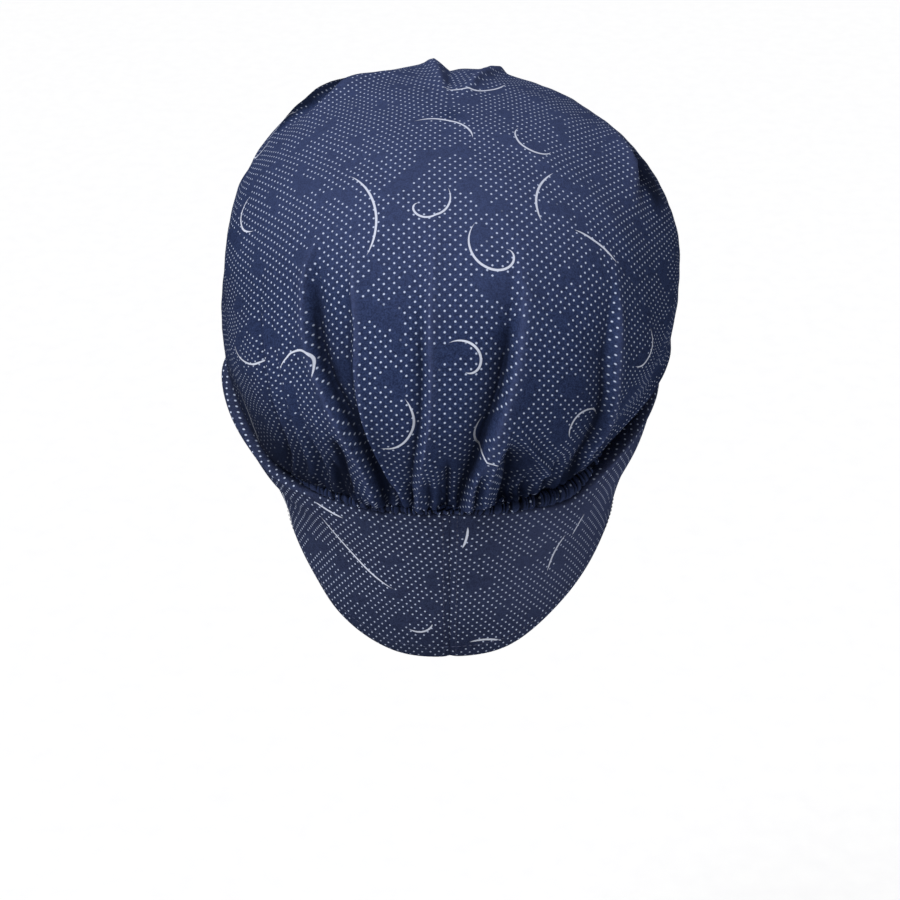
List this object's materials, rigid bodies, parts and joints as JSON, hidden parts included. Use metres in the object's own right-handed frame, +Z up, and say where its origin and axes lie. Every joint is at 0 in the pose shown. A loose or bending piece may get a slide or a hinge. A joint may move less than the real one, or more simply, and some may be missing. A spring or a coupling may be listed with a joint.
{
  "type": "turban",
  "caption": "Puffed cloth turban with a folded crown gathered into a ruched casing over a smooth two-piece nape panel, and a plain front band.",
  "frame": {"origin": "centre of the head opening, level with the seam at the nape, where the head carries it", "axes": "+Z up, +X towards the wearer's left, so the face looks towards -Y"},
  "size_m": [0.2102, 0.2367, 0.2376],
  "materials": {
    "printed_cloth": "matt woven cotton printed with small pale dots",
    "ruched_cloth": "matt woven cotton drawn up over elastic"
  },
  "bodies": {
    "root": {"crown": "printed_cloth", "elastic_casing": "ruched_cloth", "nape_panel_left": "printed_cloth", "nape_panel_right": "printed_cloth", "front_band": "printed_cloth"}
  },
  "joints": []
}
